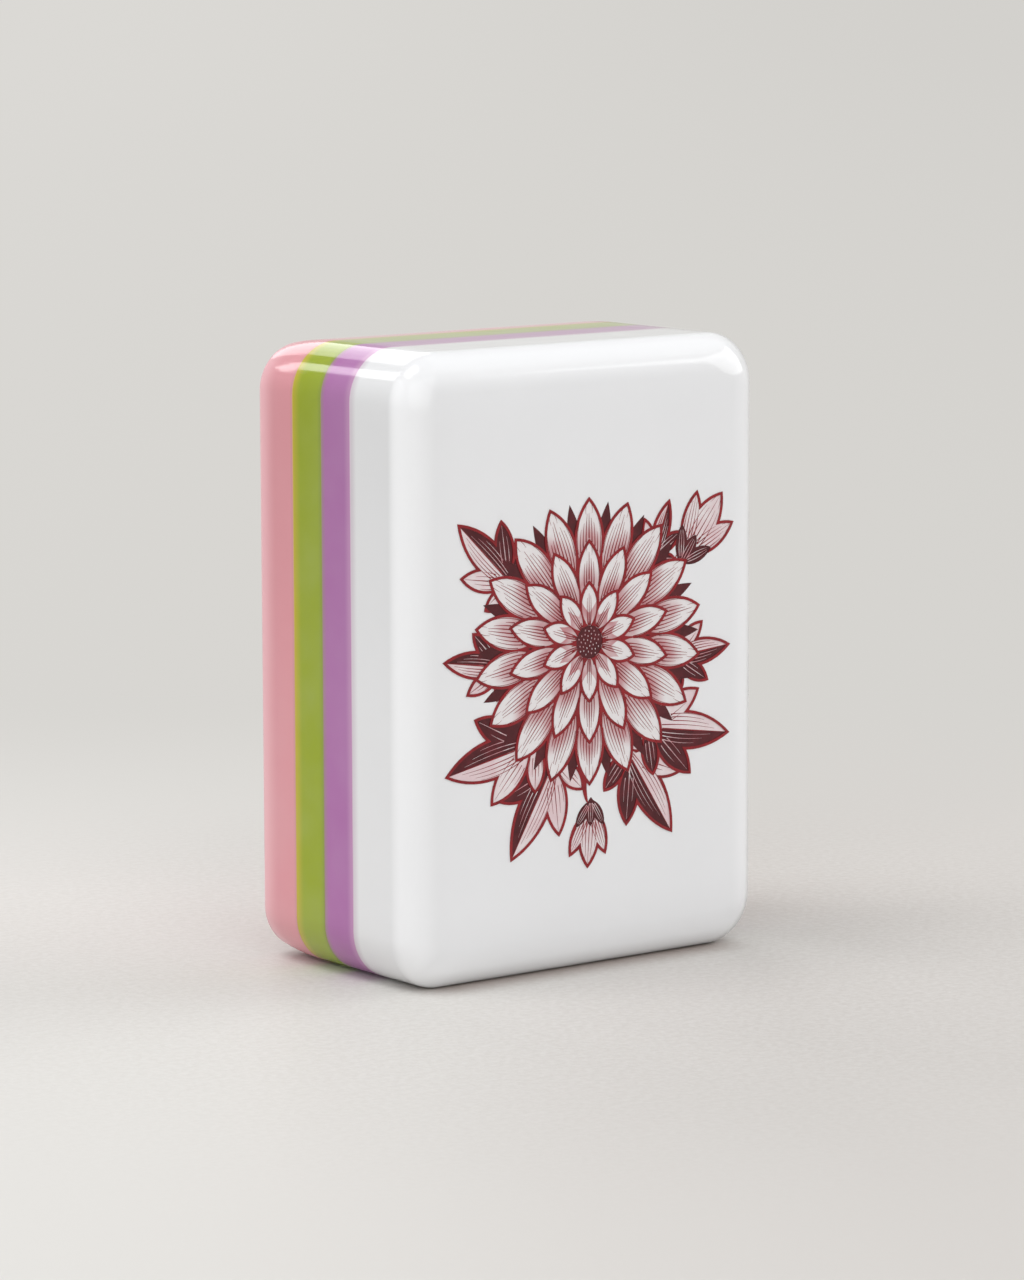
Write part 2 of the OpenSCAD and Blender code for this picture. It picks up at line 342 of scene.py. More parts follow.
def make_camera():
    middle = (cad_low + cad_high) / 2
    level = math.cos(PITCH)
    forward = Vector((math.sin(TURN) * level, math.cos(TURN) * level, -math.sin(PITCH)))
    level_right = Vector((math.cos(TURN), -math.sin(TURN), 0))
    level_up = level_right.cross(forward)
    right = math.cos(ROLL) * level_right + math.sin(ROLL) * level_up
    up = -math.sin(ROLL) * level_right + math.cos(ROLL) * level_up
    data = bpy.data.cameras.new("camera")
    data.sensor_width = SENSOR
    data.lens = FOCAL_PX * SENSOR / PHOTO_H
    data.clip_start = CLIP_NEAR
    data.clip_end = CLIP_FAR
    camera = bpy.data.objects.new("camera", data)
    bpy.context.collection.objects.link(camera)
    place = middle - forward * CAMERA_DISTANCE - right * OFF_RIGHT - up * OFF_UP
    turn = Matrix((right, up, -forward)).transposed().to_4x4()
    camera.matrix_world = Matrix.Translation(place) @ turn
    bpy.context.scene.camera = camera


# Node helpers

def feed(tree, socket, value):
    """Links a socket to the output given, or sets it to the plain value given."""
    if isinstance(value, bpy.types.NodeSocket):
        tree.links.new(value, socket)
    elif value is not None:
        socket.default_value = value


def math_node(tree, operation, first, second=None):
    node = tree.nodes.new("ShaderNodeMath")
    node.operation = operation
    for socket, value in zip(node.inputs, (first, second)):
        feed(tree, socket, value)
    return node.outputs[0]


def plus(tree, first, second):
    return math_node(tree, "ADD", first, second)


def minus(tree, first, second):
    return math_node(tree, "SUBTRACT", first, second)


def times(tree, first, second):
    return math_node(tree, "MULTIPLY", first, second)


def absolute(tree, value):
    return math_node(tree, "ABSOLUTE", value)


def length_node(tree, first, second):
    """Length of the line whose two sides are given."""
    return math_node(tree, "SQRT", plus(tree, times(tree, first, first), times(tree, second, second)))


def ramp_node(tree, value, start, end, low=0.0, high=1.0):
    """A smooth change from low to high while value runs from start to end."""
    node = tree.nodes.new("ShaderNodeMapRange")
    node.interpolation_type = "SMOOTHSTEP"
    settings = {"Value": value, "From Min": start, "From Max": end, "To Min": low, "To Max": high}
    for name, setting in settings.items():
        feed(tree, node.inputs[name], setting)
    return node.outputs["Result"]


def mix_node(tree, factor, first, second):
    """A colour that goes from first to second as factor goes from 0 to 1."""
    node = tree.nodes.new("ShaderNodeMix")
    node.data_type = "RGBA"
    for index, value in ((0, factor), (6, first), (7, second)):
        feed(tree, node.inputs[index], value)
    return node.outputs[2]


def mix_value(tree, factor, first, second):
    """A value that goes from first to second as factor goes from 0 to 1."""
    node = tree.nodes.new("ShaderNodeMix")
    node.data_type = "FLOAT"
    for index, value in ((0, factor), (2, first), (3, second)):
        feed(tree, node.inputs[index], value)
    return node.outputs[0]


def place_node(tree):
    """The three parts of the Object coordinates."""
    place = tree.nodes.new("ShaderNodeTexCoord")
    parts = tree.nodes.new("ShaderNodeSeparateXYZ")
    tree.links.new(place.outputs["Object"], parts.inputs[0])
    return parts.outputs


def noise_node(tree, scale, detail, roughness=0.5):
    node = tree.nodes.new("ShaderNodeTexNoise")
    place = tree.nodes.new("ShaderNodeTexCoord")
    tree.links.new(place.outputs["Object"], node.inputs["Vector"])
    node.inputs["Scale"].default_value = scale
    node.inputs["Detail"].default_value = detail
    node.inputs["Roughness"].default_value = roughness
    return node.outputs["Fac"]


def pattern_node(tree, pattern, low=0.0, high=1.0):
    noise = noise_node(tree, pattern.scale, pattern.detail, pattern.roughness)
    return ramp_node(tree, noise, pattern.start, pattern.end, low, high)


def new_group(name, colors, values, outputs):
    """A node group with the named inputs and outputs, its inputs' sockets and its result's."""
    group = bpy.data.node_groups.new(name, "ShaderNodeTree")
    for label in colors:
        group.interface.new_socket(name=label, in_out="INPUT", socket_type="NodeSocketColor")
    for label in values:
        group.interface.new_socket(name=label, in_out="INPUT", socket_type="NodeSocketFloat")
    for label in outputs:
        kind = "NodeSocketColor" if label == "Color" else "NodeSocketFloat"
        group.interface.new_socket(name=label, in_out="OUTPUT", socket_type=kind)
    given = group.nodes.new("NodeGroupInput")
    result = group.nodes.new("NodeGroupOutput")
    return group, given.outputs, result.inputs


def use_group(tree, group, settings):
    node = tree.nodes.new("ShaderNodeGroup")
    node.node_tree = group
    for name, value in settings.items():
        feed(tree, node.inputs[name], value)
    return node.outputs


def add_bump(tree, shader, height, distance, strength=1.0):
    bump = tree.nodes.new("ShaderNodeBump")
    settings = {"Strength": strength, "Distance": distance, "Height": height}
    for name, value in settings.items():
        feed(tree, bump.inputs[name], value)
    tree.links.new(bump.outputs["Normal"], shader.inputs["Normal"])


def blend_shaders(tree, factor, first, second, output):
    """Puts out first where factor is 0 and second where it is 1."""
    blend = tree.nodes.new("ShaderNodeMixShader")
    for socket, value in zip(blend.inputs, (factor, first, second)):
        tree.links.new(value, socket)
    tree.links.new(blend.outputs["Shader"], tree.nodes[output].inputs["Surface"])


# Effects shared by several materials

def make_tint_and_painted_shade():
    """Lets a slab take on its neighbours' tints where light bleeds through the bond, with painted shade that
    darkens its sides towards the top.
    """
    group, given, result = new_group("seam tint and painted shade", ("Body", "Front Tint", "Back Tint"),
                                     ("Front Seam", "Front Reach", "Back Seam", "Back Reach"), ("Color",))
    place = place_node(group)
    depth, height = place["Y"], place["Z"]
    from_front = minus(group, depth, given["Front Seam"])
    from_back = minus(group, given["Back Seam"], depth)
    front = ramp_node(group, from_front, 0.0, given["Front Reach"], 1.0, 0.0)
    back = ramp_node(group, from_back, 0.0, given["Back Reach"], 1.0, 0.0)
    tinted = mix_node(group, front, given["Body"], given["Front Tint"])
    tinted = mix_node(group, back, tinted, given["Back Tint"])
    tinted = mix_node(group, pattern_node(group, CLOUDS, 0.0, CLOUD), tinted, PURE_WHITE)
    # Painted shade: behind the white face's front, the sides darken towards the top and clear again just
    # below the top face.
    side = ramp_node(group, depth, WHITE_RIM_FULL - FRONT, WHITE_RIM_START - FRONT)
    rise = ramp_node(group, height, 0.0, TILE_H, 0.0, HEAD_SHADE)
    below_top = ramp_node(group, height, TILE_H - CORNER_R, TILE_H - UNSHADED_TOP, 1.0, 0.0)
    shade = times(group, side, times(group, rise, below_top))
    group.links.new(mix_node(group, shade, tinted, BLACK), result["Color"])
    return group


def make_polish():
    """Polished plastic as hands leave it: faint smears and a fall towards the rim."""
    group, given, result = new_group("hand polish", (), ("Gloss", "Smear"), ("Roughness", "Height"))
    smear = times(group, pattern_node(group, SMEARS), given["Smear"])
    group.links.new(plus(group, smear, given["Gloss"]), result["Roughness"])
    place = place_node(group)
    across = absolute(group, place["X"])
    up = absolute(group, minus(group, place["Z"], TILE_H / 2))
    drops = []
    for distance, flat in ((across, PILLOW_HALF_W), (up, PILLOW_HALF_H)):
        beyond = math_node(group, "MAXIMUM", minus(group, distance, flat), 0.0)
        drops.append(math_node(group, "DIVIDE", times(group, beyond, beyond), 2 * PILLOW_R))
    ripple = times(group, noise_node(group, RIPPLE_SCALE, detail=1), RIPPLE)
    group.links.new(minus(group, ripple, plus(group, *drops)), result["Height"])
    return group


def make_ring_cover():
    """How far a point lies outside the petals of a ring, or inside them when below zero."""
    group, given, result = new_group("ring cover", (), ("Count", "Root", "Length", "Width"), ("Outside",))
    place = place_node(group)
    rise = minus(group, place["Z"], BLOSSOM_Z)
    turn = math_node(group, "ARCTAN2", place["X"], rise)
    radius = length_node(group, place["X"], rise)
    step = math_node(group, "DIVIDE", 2 * math.pi, given["Count"])
    petal = math_node(group, "ROUND", math_node(group, "DIVIDE", turn, step))
    lean = minus(group, turn, times(group, petal, step))
    across = absolute(group, times(group, radius, math_node(group, "SINE", lean)))
    up = times(group, radius, math_node(group, "COSINE", lean))
    half_length = times(group, given["Length"], 0.5)
    half_width = times(group, given["Width"], 0.5)
    up = minus(group, minus(group, up, given["Root"]), half_length)
    squares = plus(group, times(group, half_length, half_length), times(group, half_width, half_width))
    arc = math_node(group, "DIVIDE", squares, given["Width"])
    reach = minus(group, arc, half_width)
    from_centre = length_node(group, plus(group, across, reach), up)
    group.links.new(minus(group, from_centre, arc), result["Outside"])
    return group


def make_painted_rim_highlight():
    """Painted highlight: an outer slab is painted paler towards the rim of its face, for the light on its
    rounded edges.
    """
    group, given, result = new_group("painted rim highlight", ("Body", "Rim"), ("Depth Start", "Depth Full"), ("Color",))
    place = place_node(group)
    across = minus(group, absolute(group, place["X"]), TILE_W / 2 - RIM_REACH)
    from_middle = absolute(group, minus(group, place["Z"], TILE_H / 2))
    up = minus(group, from_middle, TILE_H / 2 - RIM_REACH)
    outwards = ramp_node(group, math_node(group, "MAXIMUM", across, up), 0.0, RIM_FADE)
    through = ramp_node(group, place["Y"], given["Depth Start"], given["Depth Full"])
    glow = mix_node(group, times(group, outwards, through), given["Body"], given["Rim"])
    group.links.new(glow, result["Color"])
    return group


tint_and_painted_shade = make_tint_and_painted_shade()
polish = make_polish()
ring_cover = make_ring_cover()
painted_rim_highlight = make_painted_rim_highlight()


# Materials

def start_material(name):
    mat = bpy.data.materials.new(name)
    mat.use_nodes = True
    return mat, mat.node_tree, mat.node_tree.nodes["Principled BSDF"]


def polish_shader(tree, shader, gloss, smear):
    finish = use_group(tree, polish, {"Gloss": gloss, "Smear": smear})
    tree.links.new(finish["Roughness"], shader.inputs["Roughness"])
    add_bump(tree, shader, finish["Height"], distance=1.0)
    shader.inputs["IOR"].default_value = PLASTIC_IOR
    shader.inputs["Specular IOR Level"].default_value = SHINE


def slab_plastic(name, body, front=None, back=None, rim=None):
    """Polished slab; front and back are (tint, seam place, reach) of the bonds beside it.

    rim is (tint, where it starts, where it is full) of an outer slab's painted rim highlight, both places in
    depth.
    """
    mat, tree, shader = start_material(name)
    front = front or (body, -NO_SEAM, NO_SEAM_REACH)
    back = back or (body, NO_SEAM, NO_SEAM_REACH)
    settings = {"Body": body}
    settings.update(zip(("Front Tint", "Front Seam", "Front Reach"), front))
    settings.update(zip(("Back Tint", "Back Seam", "Back Reach"), back))
    color = use_group(tree, tint_and_painted_shade, settings)["Color"]
    # Painted highlight towards the rim of an outer slab's face.
    if rim:
        settings = {"Body": color}
        settings.update(zip(("Rim", "Depth Start", "Depth Full"), rim))
        color = use_group(tree, painted_rim_highlight, settings)["Color"]
    tree.links.new(color, shader.inputs["Base Color"])
    polish_shader(tree, shader, gloss=0.07, smear=0.07)
    return mat


def bond_film(name, node_name, front_color, middle_color, back_color):
    """A thin clear bond, where the slabs in front of it and behind it shade into each other."""
    mat, tree, shader = start_material(name)
    low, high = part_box(node_name)
    depth = place_node(tree)["Y"]
    middle = (low.y + high.y) / 2
    color = mix_node(tree, ramp_node(tree, depth, low.y, middle), front_color, middle_color)
    color = mix_node(tree, ramp_node(tree, depth, middle, high.y), color, back_color)
    tree.links.new(color, shader.inputs["Base Color"])
    polish_shader(tree, shader, gloss=0.09, smear=0.05)
    return mat


def ink_paint(name, dark, light, grain, gloss):
    """Paint wiped into the engraving: a little thinner here and there."""
    mat, tree, shader = start_material(name)
    thin = pattern_node(tree, THIN_PAINT._replace(scale=grain))
    tree.links.new(mix_node(tree, thin, dark, light), shader.inputs["Base Color"])
    polish_shader(tree, shader, gloss, smear=0.08)
    return mat


def outside_ring(tree, ring):
    count, root, tip = ring
    settings = {"Count": count, "Root": root * ART_W, "Length": (tip - root) * ART_W,
                "Width": petal_width(ring)}
    return use_group(tree, ring_cover, settings)["Outside"]


def petal_wash(name):
    """Pale wash that deepens where each petal dips under the petals above it."""
    mat, tree, shader = start_material(name)
    place = place_node(tree)
    radius = length_node(tree, place["X"], minus(tree, place["Z"], BLOSSOM_Z))
    beyond_middle = outside_ring(tree, MIDDLE_RING)
    beyond_inner = outside_ring(tree, INNER_RING)
    on_outer = math_node(tree, "GREATER_THAN", beyond_middle, 0.0)
    on_middle = math_node(tree, "GREATER_THAN", beyond_inner, 0.0)
    outer_shade = ramp_node(tree, beyond_middle, 0.0, WASH_REACH, 1.0, 0.0)
    middle_shade = ramp_node(tree, beyond_inner, 0.0, WASH_REACH, 1.0, 0.0)
    inner_shade = ramp_node(tree, radius, HEART_R, HEART_R + WASH_REACH, 1.0, 0.0)
    shade = mix_value(tree, on_middle, inner_shade, middle_shade)
    shade = mix_value(tree, on_outer, shade, outer_shade)
    patch = pattern_node(tree, PATCHES, WASH_LEAST, 1.0)
    factor = times(tree, times(tree, shade, patch), WASH_DEPTH)
    tree.links.new(mix_node(tree, factor, WASH, WASH_ROSE), shader.inputs["Base Color"])
    polish_shader(tree, shader, gloss=0.12, smear=0.08)
    return mat


def seen_rays(tree):
    """One for the rays that show the studio itself, and nothing for those that light the tile."""
    rays = tree.nodes.new("ShaderNodeLightPath").outputs
    seen = math_node(tree, "MAXIMUM", rays["Is Camera Ray"], rays["Is Glossy Ray"])
    return math_node(tree, "MAXIMUM", seen, rays["Is Transmission Ray"])


def painted_front_shade(tree, place):
    """Painted shade on the paper along the foot of the tile's front, where one is full shade."""
    from_foot = absolute(tree, plus(tree, place["Y"], FRONT - FOOT_INSET))
    nook = ramp_node(tree, from_foot, 0.0, NOOK_REACH, NOOK_SHADE, 0.0)
    ends = ramp_node(tree, absolute(tree, place["X"]), NOOK_FULL, NOOK_GONE, 1.0, 0.0)
    return times(tree, nook, ends)


def paper_sweep(name):
    """Fine-grained paper under the tile, which far behind it shows as a plain backdrop. Both are painted
    lighter to the left and darker to the right as falloff of light, and painted shade lies under the tile's
    front edge.
    """
    mat, tree, shader = start_material(name)
    place = place_node(tree)
    sideways = minus(tree, times(tree, place["X"], math.cos(TURN)), times(tree, place["Y"], math.sin(TURN)))
    behind = plus(tree, times(tree, place["X"], math.sin(TURN)), times(tree, place["Y"], math.cos(TURN)))
    away = length_node(tree, place["X"], place["Y"])
    seen = seen_rays(tree)
    # Painted falloff of light: lighter to the left of the tile than to its right, as the camera stands.
    near_painted_falloff = mix_node(tree, ramp_node(tree, sideways, -NEAR_FADE, NEAR_FADE), PAPER_LIT_LEFT, PAPER_SHADED_RIGHT)
    far_painted_falloff = mix_node(tree, ramp_node(tree, sideways, -FAR_FADE, FAR_FADE),
                        BACKDROP_LIT_LEFT, BACKDROP_SHADED_RIGHT)
    crisp = ramp_node(tree, away, CRISP_PAPER, SMOOTH_PAPER, 1.0, FAR_GRAIN)
    grain = times(tree, pattern_node(tree, FIBRES, -PAPER_GRAIN, PAPER_GRAIN), crisp)
    paper = mix_node(tree, plus(tree, grain, PAPER_LIFT), near_painted_falloff, PURE_WHITE)
    # Painted shade under the front edge, only for the rays that show the studio.
    paper = mix_node(tree, times(tree, painted_front_shade(tree, place), seen), paper, PAINTED_FOOT_SHADE)
    tree.links.new(paper, shader.inputs["Base Color"])
    shader.inputs["Roughness"].default_value = PAPER_ROUGHNESS
    shader.inputs["Specular IOR Level"].default_value = PAPER_SHINE
    add_bump(tree, shader, noise_node(tree, TOOTH_SCALE, detail=3), PAPER_TOOTH, crisp)
    plain = tree.nodes.new("ShaderNodeEmission")
    tree.links.new(far_painted_falloff, plain.inputs["Color"])
    far = math_node(tree, "MAXIMUM", ramp_node(tree, behind, NEAR_PAPER, FAR_PAPER),
                    ramp_node(tree, away, NEAR_ROUND, FAR_ROUND))
    blend_shaders(tree, times(tree, far, seen), shader.outputs["BSDF"], plain.outputs["Emission"],
                  "Material Output")
    return mat


# Modelling helpers

def deselect():
    bpy.ops.object.select_all(action="DESELECT")


def pick(piece):
    deselect()
    piece.select_set(True)
    bpy.context.view_layer.objects.active = piece


def edit_whole():
    bpy.ops.object.mode_set(mode="EDIT")
    bpy.ops.mesh.select_all(action="SELECT")


def end_edit():
    bpy.ops.object.mode_set(mode="OBJECT")


def settle(piece, slot, material, *nodes):
    """Rides, finish and stand-in of a finished piece."""
    piece.data.materials.clear()
    piece.data.materials.append(material)
    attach(piece, "root")
    if nodes:
        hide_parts(*nodes)


def edge_steps(edge):
    """Steps of (inset, rise) that carry the side over an edge's curves to the flat face."""
    for radius, start, end, count in edge:
        tilts = [math.radians(start + (end - start) * i / count) for i in range(count + 1)]
        for first, second in zip(tilts, tilts[1:]):
            inset = radius * (math.sin(first) - math.sin(second))
            rise = radius * (math.cos(second) - math.cos(first))
            yield inset, rise


def make_outer_slab(name, node, slot, material, edge, outward, sink=0.0):
    """A slab drawn from its joint towards outward, -1 for the front, and rounded at its face."""
    low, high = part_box(node)
    deselect()
    joint = high.y if outward < 0 else low.y
    bpy.ops.mesh.primitive_plane_add(size=1, location=((low.x + high.x) / 2, joint, (low.z + high.z) / 2),
                                     rotation=(-outward * math.pi / 2, 0, 0))
    slab = bpy.context.object
    slab.name = name
    slab.scale = (high.x - low.x, high.z - low.z, 1)
    bpy.ops.object.transform_apply(location=True, rotation=True, scale=True)
    edit_whole()
    bpy.ops.mesh.bevel(affect="VERTICES", offset_type="OFFSET", offset=CORNER_R,
                       segments=CORNER_STEPS, profile=0.5)
    steps = list(edge_steps(edge))
    side = high.y - low.y - sink - sum(rise for inset, rise in steps)
    bpy.ops.mesh.extrude_region_move(TRANSFORM_OT_translate={"value": (0, outward * side, 0)})
    for inset, rise in steps:
        bpy.ops.mesh.inset(thickness=inset, depth=rise)
    end_edit()
    bpy.ops.object.shade_smooth_by_angle(angle=SHARP_ABOVE)
    weigh = slab.modifiers.new("even shading", "WEIGHTED_NORMAL")
    weigh.keep_sharp = True
    bpy.ops.object.modifier_apply(modifier=weigh.name)
    settle(slab, slot, material, node)


def sink_paint(node, name, slot, material):
    """A paint filling let down a hair below the pen lines that cross it."""
    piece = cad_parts[node].copy()
    piece.data = piece.data.copy()
    piece.name = name
    bpy.context.collection.objects.link(piece)
    pick(piece)
    edit_whole()
    bpy.ops.mesh.remove_doubles(threshold=FILLING_MERGE)
    bpy.ops.transform.translate(value=(0, WASH_SINK, 0))
    end_edit()
    settle(piece, slot, material, node)


# Layout of the artwork, in metres across and up the face

Blade = namedtuple("Blade", "x z turn length width")


def arc_radius(blade):
    return (blade.length ** 2 + blade.width ** 2) / (4 * blade.width)


def along(blade, share, side):
    """The point that lies share of the way up a blade and side of the way to its edge."""
    radius = arc_radius(blade)
    from_middle = (share - 0.5) * blade.length
    half = math.sqrt(max(radius ** 2 - from_middle ** 2, 0)) - (radius - blade.width / 2)
    across, up = side * half, share * blade.length
    cos, sin = math.cos(blade.turn), math.sin(blade.turn)
    return blade.x + across * cos - up * sin, blade.z + across * sin + up * cos


def covers(blade, point):
    """Whether a point lies within both arcs that bound a blade."""
    cos, sin = math.cos(blade.turn), math.sin(blade.turn)
    x, z = point[0] - blade.x, point[1] - blade.z
    across, up = x * cos + z * sin, -x * sin + z * cos
    radius = arc_radius(blade)
    reach = radius - blade.width / 2
    return all(math.hypot(across - side * reach, up - blade.length / 2) <= radius for side in (-1, 1))


def ring_blades(ring, width, first_turn=0.0):
    """The petals of a ring round the blossom's heart."""
    count, root, tip = ring
    blades = []
    for i in range(count):
        turn = first_turn + 2 * math.pi * i / count
        x, z = -root * ART_W * math.sin(turn), BLOSSOM_Z + root * ART_W * math.cos(turn)
        blades.append(Blade(x, z, turn, (tip - root) * ART_W, width))
    return blades


def fan_blades(place, lobes):
    """The lobes of the leaf or bud that stands at a place."""
    across, up, turn, share = place
    lean = math.radians(turn)
    length = share * ART_W
    blades = []
    for lobe_turn, root, lobe_length, lobe_width in lobes:
        x = across * ART_W - root * length * math.sin(lean)
        z = ART_Z + up * ART_W + root * length * math.cos(lean)
        blades.append(Blade(x, z, lean + math.radians(lobe_turn), lobe_length * length, lobe_width * length))
    return blades


outer_blades = ring_blades(OUTER_RING, petal_width(OUTER_RING))
middle_blades = ring_blades(MIDDLE_RING, petal_width(MIDDLE_RING))
inner_blades = ring_blades(INNER_RING, petal_width(INNER_RING))
under_blades = ring_blades(UNDER_RING, UNDER_WIDTH * petal_room(UNDER_RING), math.pi / UNDER_RING[0])
blossom_blades = outer_blades + under_blades
bud_blades = [blade for place in BUDS for blade in fan_blades(place, BUD_PETALS)]
calyx_blades = [blade for place in BUDS for blade in fan_blades(place, CALYX)]


def hidden(point, blades, disc):
    """Whether a disc round the blossom's heart, or a blade, lies over a point."""
    from_heart = math.hypot(point[0], point[1] - BLOSSOM_Z)
    return from_heart <= disc or any(covers(blade, point) for blade in blades)


# Pen lines

class Pen:
    """Gathers pen lines, each a list of (across, up, weight) points."""

    def __init__(self, seed):
        self.lines = []
        self.chance = random.Random(seed)

    def waver(self, amount):
        return self.chance.uniform(-amount, amount)

    def hatch(self, blade, hatch, over, disc=BACKING_R):
        """The lines of a hatching on one blade, which over and a disc may hide."""
        for side in hatch.sides:
            end = hatch.end - hatch.slant * abs(side)
            if hatch.waver:
                end += self.waver(hatch.waver)
            weight = hatch.weight - hatch.fade * abs(side)
            self.line(blade, (side, hatch.lean * side), (hatch.start, end), weight, over, disc)

    def line(self, blade, sides, shares, weight, over, disc):
        """One line up a blade, kept to the longest stretch that nothing hides."""
        (side, last_side), (start, end) = sides, shares
        run, best = [], []
        for step in range(FINE_STEPS + 1):
            part = step / FINE_STEPS
            point = along(blade, start + (end - start) * part, side + (last_side - side) * part)
            if hidden(point, over, disc):
                run = []
                continue
            run.append(point)
            if len(run) > len(best):
                best = run
        if len(best) < SHORTEST_RUN:
            return
        places = [best[round(i * (len(best) - 1) / (PEN_POINTS - 1))] for i in range(PEN_POINTS)]
        thinning = [weight * (1 - PEN_TAPER * i / (PEN_POINTS - 1)) for i in range(PEN_POINTS)]
        self.lines.append([(x, z, thick) for (x, z), thick in zip(places, thinning)])

    def stroke(self, points, weight):
        """A free line that swells in its middle."""
        count = len(points) - 1
        bulge = 1 - STROKE_END
        swell = [weight * (STROKE_END + bulge * math.sin(math.pi * i / count)) for i in range(count + 1)]
        self.lines.append([(x, z, thick) for (x, z), thick in zip(points, swell)])

    def dot(self, x, z, weight):
        reach = DOT_REACH * weight * PEN_HALF_W
        self.lines.append([(x - reach, z, weight), (x + reach, z, weight)])


def draw_blossom():
    """Stripes up each petal, longest at its middle, and filaments round the heart."""
    pen = Pen(seed=11)
    rings = ((outer_blades, OUTER_STRIPES, middle_blades), (middle_blades, MIDDLE_STRIPES, inner_blades),
             (inner_blades, INNER_STRIPES, ()))
    for blades, stripes, over in rings:
        for blade in blades:
            for hatch in (stripes, PETAL_TIP, PETAL_EDGE):
                pen.hatch(blade, hatch, over, HEART_R)
    for i in range(FILAMENTS):
        turn = 2 * math.pi * i / FILAMENTS
        inner = HEART_R * FILAMENT_ROOT
        outer = HEART_R * (FILAMENT_TIP + pen.waver(FILAMENT_WAVER))
        points = [(-radius * math.sin(turn), BLOSSOM_Z + radius * math.cos(turn))
                  for radius in (inner, (inner + outer) / 2, outer)]
        pen.stroke(points, FILAMENT_WEIGHT)
        pen.dot(*points[-1], ANTHER_WEIGHT)
    return pen.lines


def draw_heart():
    """Pale seeds in the blossom's dark heart, wound as in a daisy."""
    pen = Pen(seed=12)
    golden = math.pi * (3 - math.sqrt(5))
    for i in range(SEEDS):
        radius = SEED_REACH * HEART_R * math.sqrt((i + 0.5) / SEEDS)
        turn = i * golden
        pen.dot(radius * math.cos(turn), BLOSSOM_Z + radius * math.sin(turn), SEED_WEIGHT)
    return pen.lines


def leaf_covers(index):
    """The blades that lie over a leaf: the blossom, the buds and the leaves drawn before it."""
    over = blossom_blades + bud_blades + calyx_blades
    for place in LEAVES[:index]:
        over = over + fan_blades(place, LOBES)
    return over


def draw_leaf_veins():
    """Dark veins and hatching on the lit half of each leaf, pale ones on its dark half."""
    dark, pale = Pen(seed=13), Pen(seed=14)
    for index, place in enumerate(LEAVES):
        over = leaf_covers(index)
        lobes = fan_blades(place, LOBES)
        dark.hatch(lobes[0], LEAF_RIB, over)
        dark.hatch(lobes[0], LEAF_LIT_HALF, over)
        pale.hatch(lobes[0], LEAF_DARK_HALF, over)
        for lobe, (turn, root, length, width) in zip(lobes[1:], LOBES[1:]):
            pen, hatch = (dark, LIT_LOBE) if turn > 0 else (pale, DARK_LOBE)
            pen.hatch(lobe, LOBE_RIB, over)
            pen.hatch(lobe, hatch, over)
    return dark.lines, pale.lines


def draw_bud_lines():
    """Dark stripes on the buds' petals and pale ones on their sepals."""
    dark, pale = Pen(seed=15), Pen(seed=16)
    for petal in bud_blades:
        dark.hatch(petal, BUD_STRIPES, calyx_blades + blossom_blades)
        dark.hatch(petal, BUD_TIP, calyx_blades + blossom_blades)
    for sepal in calyx_blades:
        pale.hatch(sepal, SEPAL_STRIPES, blossom_blades)
    return dark.lines, pale.lines


def make_nib():
    """The pen's section: broad across the face and thin through it."""
    data = bpy.data.curves.new("nib", "CURVE")
    data.dimensions = "2D"
    outline = data.splines.new("POLY")
    corners = [(-1, 0), (-NIB_SHOULDER, 1), (NIB_SHOULDER, 1),
               (1, 0), (NIB_SHOULDER, -1), (-NIB_SHOULDER, -1)]
    outline.points.add(len(corners) - 1)
    for point, (across, through) in zip(outline.points, corners):
        point.co = (across * PEN_HALF_W, through * PEN_HALF_H, 0, 1)
    outline.use_cyclic_u = True
    nib = bpy.data.objects.new("nib", data)
    bpy.context.collection.objects.link(nib)
    return nib


def ink(name, lines, nib, slot, material):
    """Draws pen lines flat, turns them to a mesh and stands them on the face."""
    data = bpy.data.curves.new(name, "CURVE")
    data.dimensions = "2D"
    data.bevel_mode = "OBJECT"
    data.bevel_object = nib
    data.use_fill_caps = True
    for line in lines:
        path = data.splines.new("POLY")
        path.points.add(len(line) - 1)
        for point, (x, z, weight) in zip(path.points, line):
            point.co = (x, z, 0, 1)
            point.radius = weight
    piece = bpy.data.objects.new(name, data)
    bpy.context.collection.objects.link(piece)
    pick(piece)
    bpy.ops.object.convert(target="MESH")
    piece = bpy.context.object
    piece.location = (0, LINE_SINK - FRONT, 0)
    piece.rotation_euler = (math.pi / 2, 0, 0)
    bpy.ops.object.transform_apply(location=True, rotation=True, scale=True)
    edit_whole()
    bpy.ops.mesh.remove_doubles(threshold=PEN_MERGE)
    bpy.ops.mesh.normals_make_consistent(inside=False)
    end_edit()
    settle(piece, slot, material)


# Studio

def pick_edges(piece, wanted):
    """Selects the edges whose two ends are both wanted, ready for editing."""
    end_edit()
    for edge in piece.data.edges:
        edge.select = all(wanted(piece.data.vertices[i].co) for i in edge.vertices)
    bpy.ops.object.mode_set(mode="EDIT")


